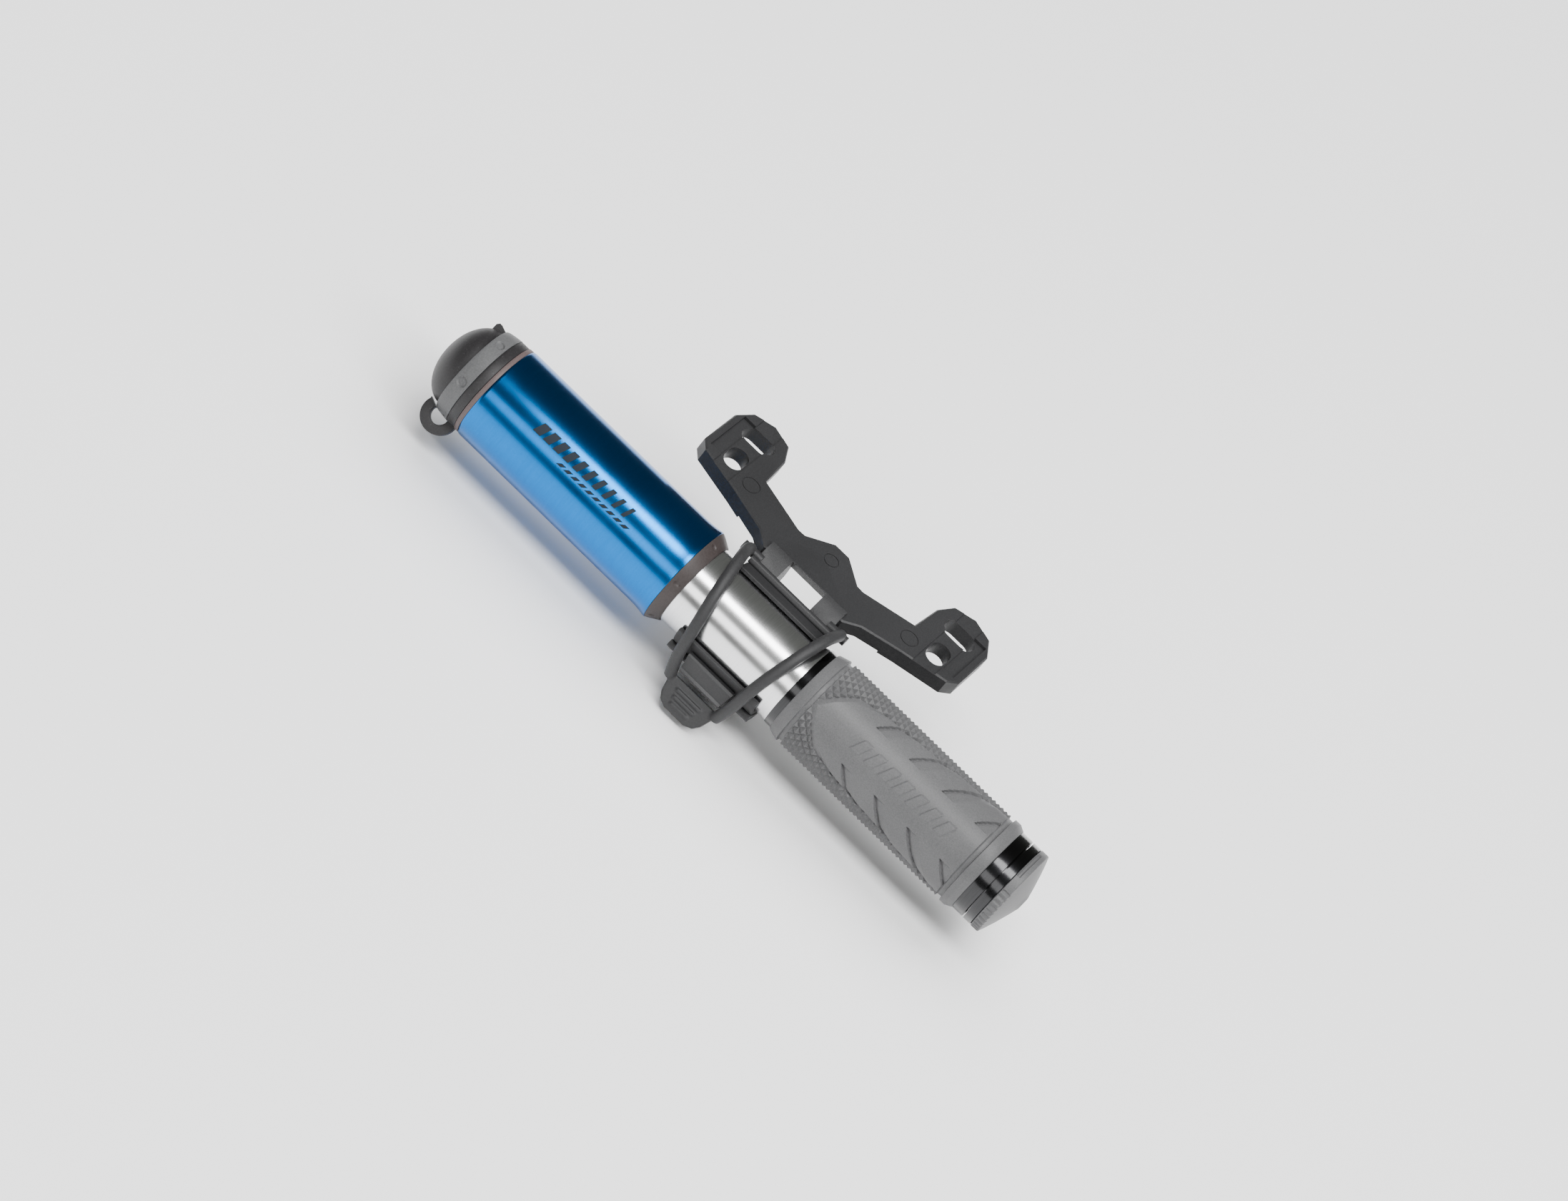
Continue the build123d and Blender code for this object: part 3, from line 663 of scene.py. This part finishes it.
# %% The grip's relief
DIAMONDS_ROUND, PER_DIAMOND = 32, 10
GRIP_R, VALLEY_R, DIAMOND_HEIGHT = 12.1, 11.5, 0.82
grip_columns = DIAMONDS_ROUND * PER_DIAMOND
pitch = 2 * math.pi * 12.3 / DIAMONDS_ROUND
field_start, field_end = 116.5, grip_end - 4.5
EDGE_STATIONS = (115.9, 117.0, 119.5, 122.7, 129.8, 136.8, 145.0, 151.0, 165.0)
EDGE_ANGLES = (0.0, 8.0, 24.0, 41.0, 50.0, 55.0, 60.0, 66.0, 75.0)
BEVEL_STATIONS, BEVEL_WIDTHS = (116.0, 123.0, 130.0, 165.0), (2.1, 1.9, 0.75, 0.5)
NOTCHES, NOTCH_FIRST, NOTCH_PITCH, NOTCH_DEPTH, NOTCH_ANGLE = 4, 130.0, 10.13, 0.65, 27.0
RIBS, RIB_FIRST, RIB_PITCH, RIB_WIDTH, RIB_HEIGHT, RIB_HALF_ANGLE = 7, 131.0, 4.3, 2.7, 0.27, 9.5


def ramp(value, width):
    """0 below zero, 1 above width, straight between."""
    return np.clip(value / width, 0, 1)


def grip_radius(along, angles):
    """Radius of the grip at one station for every angle from the mouth, in degrees."""
    folded = np.abs((angles + 90) % 180 - 90)
    arc = math.radians(1) * GRIP_R
    u, v = (along - field_start) / pitch, angles / 360 * DIAMONDS_ROUND
    near = np.minimum(abs(u - round(u)) + abs(v - np.round(v)),
                      abs(u - 0.5 - round(u - 0.5)) + abs(v - 0.5 - np.round(v - 0.5)))
    diamonds = VALLEY_R + DIAMOND_HEIGHT * (1 - 2 * near)
    edge = (np.interp(along, EDGE_STATIONS, EDGE_ANGLES) - folded) * arc
    panel = VALLEY_R + (GRIP_R - VALLEY_R) * ramp(edge, np.interp(along, BEVEL_STATIONS, BEVEL_WIDTHS))
    past = np.clip((folded - NOTCH_ANGLE) / 30, 0, None)
    for k in range(NOTCHES):
        behind = along - (NOTCH_FIRST + NOTCH_PITCH * k) - 5.1 * past ** 1.12
        slope = NOTCH_DEPTH * np.clip(1 - behind / 3.9, 0, 1) + 0.15 * ramp(0.9 - behind, 0.15)
        panel = panel - slope * ramp(behind, 0.2) * ramp((folded - NOTCH_ANGLE) * arc, 0.2)
    rib_row = (along - RIB_FIRST + ((angles + 90) % 180 - 90) * 0.09) / RIB_PITCH
    from_rib = np.abs(rib_row - np.clip(np.round(rib_row), 0, RIBS - 1)) * RIB_PITCH
    rib_width = ramp(RIB_WIDTH / 2 - from_rib, 0.25)
    panel = panel + RIB_HEIGHT * rib_width * ramp((RIB_HALF_ANGLE - folded) * arc, 0.25)
    return np.where(edge > 0, np.maximum(panel, VALLEY_R - 0.25), diamonds)


# %% The grip
grip_angles = column_angles(grip_columns)
cell_angles = grip_angles + 180 / grip_columns
rings = [(grip_start, 11.12), (grip_start, 11.25), (grip_start + 0.1, 11.38), (grip_start + 0.4, 11.5),
         (115.0, 12.16), (115.12, 12.18), (115.2, 12.1), (115.22, 11.62), (115.35, 11.45), (116.3, 11.45),
         (116.42, 11.5)]
centres = [None] * len(rings)
step = pitch / PER_DIAMOND
field = np.arange(field_start, field_end + 0.001, step)
rings += [(along, grip_radius(along, grip_angles)) for along in field]
centres += [grip_radius(along + step / 2, cell_angles) for along in field[:-1]] + [None]
after = [(0.05, 11.85), (0.1, 11.7), (0.25, 11.55), (1.25, 11.55), (1.35, 11.7), (1.4, 12.28), (1.5, 12.38),
         (2.9, 12.38), (3.05, 12.34), (4.25, 11.72), (4.45, 11.6), (4.5, 11.5), (4.5, 11.12)]
rings += [(field_end + past, radius) for past, radius in after]
centres += [None] * len(after)
grip = skin("grip_skin", rings, grip_columns, centres, 13)
settle(grip, "grip_skin", "barrel", ["grip"], grip_rubber)
print("grip faces:", len(grip.data.polygons))

# %% [markdown]
# ## The palm cap
# The rubber palm cap ends the pump with a shallow cone. Its rim is knurled over two quarters and smooth
# over the other two, each with a small window pressed into it, so fingers can find it.

# %% The palm cap
TEETH, CAP_COLUMNS, CAP_RIM_R = 48, 576, 11.55
cap_start, cap_tip = station("palm_cap", 0), station("palm_cap", 1)
cap_angles = column_angles(CAP_COLUMNS)
quarter = (cap_angles % 180 < 88) & (cap_angles % 180 > 2)
tooth = 0.34 * (0.5 - 0.5 * np.cos(np.radians(cap_angles) * TEETH))
window = np.abs((cap_angles + 42.5 + 90) % 180 - 90) < 23.5


def rim_radius(along, plain):
    """The rim's radius: teeth in two quarters, a pressed window in the others."""
    toothed = plain - np.where(quarter, tooth, 0) * ramp(along - cap_start - 0.25, 0.2)
    pressed = 0.5 * ramp(along - cap_start - 0.3, 0.1) * ramp(cap_start + 1.15 - along, 0.1)
    return toothed - np.where(window, pressed, 0)


rim = [(cap_start, 4.0), (cap_start, 11.25), (cap_start + 0.1, 11.42)]
rim += [(along, rim_radius(along, CAP_RIM_R)) for along in np.linspace(cap_start + 0.2, 177.15, 22)]
rim += [(177.3, rim_radius(177.0, CAP_RIM_R - 0.08)), (177.42, rim_radius(177.0, CAP_RIM_R - 0.25) * 0.998)]
palm_cone = [(177.5, 11.0), (177.9, 10.0), (178.75, 7.5), (179.8, 3.9), (180.33, 1.85), (cap_tip, 1.7),
             (cap_tip, 0.02)]
palm_hollow = [(cap_start + 1.0, 0.02), (cap_start + 1.0, 4.0)]
palm = skin("palm_cap_skin", rim + palm_cone + palm_hollow, CAP_COLUMNS)
settle(palm, "palm_cap_skin", "palm_cap", ["palm_cap"], grip_rubber)
print("palm cap faces:", len(palm.data.polygons))

# %% [markdown]
# ## The bracket and its liner
# The bracket's CAD shape is right, but a moulding has no knife edges. A copy of its mesh is merged, its flat
# faces are joined again, and a live Bevel rounds every sharp edge. The liner gets the same treatment with
# a softer edge.

# %% Rounded mouldings


def rounded_copy(node, name, width, segments):
    """A merged copy of a CAD node with a live bevel on its sharp edges."""
    shape = bmesh.new()
    shape.from_mesh(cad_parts[node].data)
    bmesh.ops.remove_doubles(shape, verts=shape.verts, dist=0.000004)
    bmesh.ops.dissolve_limit(shape, angle_limit=math.radians(1.0), verts=shape.verts, edges=shape.edges)
    mesh = bpy.data.meshes.new(name)
    shape.to_mesh(mesh)
    shape.free()
    piece = bpy.data.objects.new(name, mesh)
    bpy.context.scene.collection.objects.link(piece)
    bevel = piece.modifiers.new("moulded edges", "BEVEL")
    bevel.width, bevel.segments, bevel.limit_method = width * MM, segments, "ANGLE"
    bevel.angle_limit, bevel.harden_normals = math.radians(35), True
    bevel.use_clamp_overlap = True
    mesh.shade_smooth()
    mesh.set_sharp_from_angle(angle=math.radians(35))
    return piece


bracket = rounded_copy("bracket", "bracket_moulding", 0.28, 3)
settle(bracket, "bracket_moulding", "bracket", ["bracket"], bracket_plastic)
liner = rounded_copy("cradle_liner", "liner_moulding", 0.3, 3)
settle(liner, "liner_moulding", "bracket", ["cradle_liner"], liner_rubber)

# %% [markdown]
# ## The strap
# The strap is one loop of rubber: two round legs and a pull tab with grip ridges. The legs are curves with a
# round bevel, the tab and its ridges are coarse cages, and a voxel remesh melts them into one skin the way
# the mould did. A smoothing pass takes the steps off.

# %% The strap's parts
LEG_R = 1.45
LEG_ROUTE = ((-98, 14.8, 14.1), (-88, 14.7, 14.3), (-68, 14.55, 13.9), (-52, 14.0, 13.2), (-25, 12.75, 12.0),
             (0, 12.45, 10.9), (32, 12.75, 9.5), (54, 14.0, 8.9), (70, 15.8, 8.3), (84, 18.4, 7.0))


def strap_leg(side):
    """One leg as a NURBS curve with a round bevel."""
    data = bpy.data.curves.new("leg", "CURVE")
    data.dimensions, data.bevel_depth, data.bevel_resolution, data.use_fill_caps = "3D", LEG_R * MM, 6, True
    spline = data.splines.new("NURBS")
    spline.points.add(len(LEG_ROUTE) - 1)
    for point, (angle, radius, half) in zip(spline.points, LEG_ROUTE):
        turn = math.radians(angle)
        point.co = (*place(side * half, radius * math.cos(turn), radius * math.sin(turn)), 1)
    spline.order_u, spline.use_endpoint_u, spline.resolution_u = 4, True, 10
    leg = bpy.data.objects.new("leg", data)
    bpy.context.scene.collection.objects.link(leg)
    return leg


def flat_piece(name, outline, low, high):
    """A prism whose outline lies in the plane of x and down, pulled towards the mouth."""
    return prism(name, outline, low, high, lambda x, q, p: place(x, p, q))


tab = flat_piece("tab", [(-7.1, 17.25), (7.1, 17.25), (6.75, 19.6), (6.0, 22.1), (4.9, 23.6), (3.0, 24.4),
                         (-3.0, 24.4), (-4.9, 23.6), (-6.0, 22.1), (-6.75, 19.6)], 0.45, 2.75)
ridges = [flat_piece("ridge", [(-w, q), (w, q), (w, q + 0.8), (-w, q + 0.8)], 2.5, 3.15)
          for w, q in ((3.6, 19.1), (3.1, 20.7), (2.5, 22.3))]

# %% The strap melted into one skin
legs = [strap_leg(side) for side in (-1, 1)]
bpy.context.view_layer.update()
graph = bpy.context.evaluated_depsgraph_get()
rubber = bmesh.new()
for part in [*legs, tab, *ridges]:
    rubber.from_mesh(bpy.data.meshes.new_from_object(part.evaluated_get(graph)))
    bpy.data.objects.remove(part)
bmesh.ops.recalc_face_normals(rubber, faces=rubber.faces)
strap_mesh = bpy.data.meshes.new("strap_loop")
rubber.to_mesh(strap_mesh)
rubber.free()
strap = bpy.data.objects.new("strap_loop", strap_mesh)
bpy.context.scene.collection.objects.link(strap)
melt = strap.modifiers.new("melt together", "REMESH")
melt.mode, melt.voxel_size = "VOXEL", 0.22 * MM
soften = strap.modifiers.new("take the steps off", "SMOOTH")
soften.factor, soften.iterations = 0.5, 7
strap = applied(strap, Vector((0, 0, 0)))
strap.data.shade_smooth()
settle(strap, "strap_loop", "strap", ["strap"], strap_rubber)
print("strap faces:", len(strap.data.polygons))

# %% [markdown]
# ## The pieces inside
# The rod, piston, hose and valve keep their CAD meshes. They show when the pump is drawn out or taken
# apart, so each gets its own finish too.

# %% Finishes for the inner pieces
INNER = {
    "head_plug": inner_plastic, "piston_rod": rod_steel, "piston": inner_plastic,
    "piston_ring": inner_plastic, "cup_seal": seal_rubber, "valve_ball": rod_steel,
    "valve_spring": rod_steel, "rod_guide": inner_plastic, "rod_wiper_ring": seal_rubber,
    "guide_circlip": rod_steel, "end_plug": ring_black, "plug_o_ring": seal_rubber, "hose": hose_rubber,
    "hose_piston": brass, "hose_ferrule": brass, "chuck_body": inner_plastic,
    "chuck_collar": barrel_silver, "chuck_gasket": seal_rubber,
}
for node, finish in INNER.items():
    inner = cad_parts[node]
    inner.data.materials.clear()
    inner.data.materials.append(finish)
print("inner pieces:", len(INNER))

# %% The floor's finish
floor_finish = bpy.data.materials.new("floor_paper")
floor_finish.use_nodes = True
floor_tree = floor_finish.node_tree
floor_tree.nodes.clear()
floor_output = floor_tree.nodes.new("ShaderNodeOutputMaterial")
floor_output.label = "paper sweep"
floor_shader = floor_tree.nodes.new("ShaderNodeBsdfPrincipled")
floor_shader.label = "matte paper"
floor_output.location, floor_shader.location = (300, 0), (0, 0)
floor_shader.inputs["Base Color"].default_value = (0.92, 0.92, 0.925, 1)
floor_shader.inputs["Roughness"].default_value = 0.9
floor_tree.links.new(floor_shader.outputs["BSDF"], floor_output.inputs["Surface"])
floor.data.materials.append(floor_finish)
